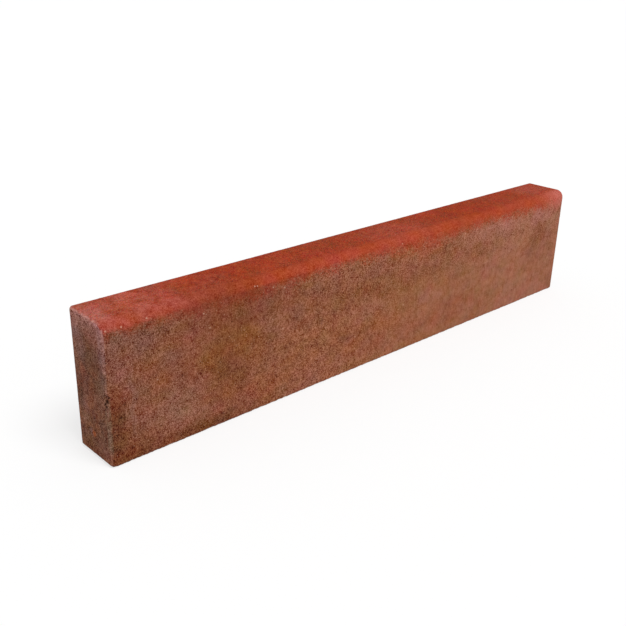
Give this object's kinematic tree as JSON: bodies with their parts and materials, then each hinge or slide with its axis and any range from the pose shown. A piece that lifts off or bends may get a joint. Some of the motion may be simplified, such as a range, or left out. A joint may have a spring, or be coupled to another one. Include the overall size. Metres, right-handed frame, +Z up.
{
  "type": "concrete curb",
  "caption": "Straight precast concrete garden curb, a slim upright block of red pigmented concrete with one rounded top edge, for edging paths, lawns and paving.",
  "frame": {"origin": "centre of the base, on the ground", "axes": "+X along the curb, -Y out of the exposed face whose top edge is rounded, +Z up"},
  "size_m": [1, 0.08, 0.2],
  "materials": {
    "pigmented_concrete": "matt red-brown concrete, brighter red on the top and its rounded edge, fine grained with small pores"
  },
  "bodies": {
    "root": {"curb": "pigmented_concrete"}
  },
  "joints": []
}
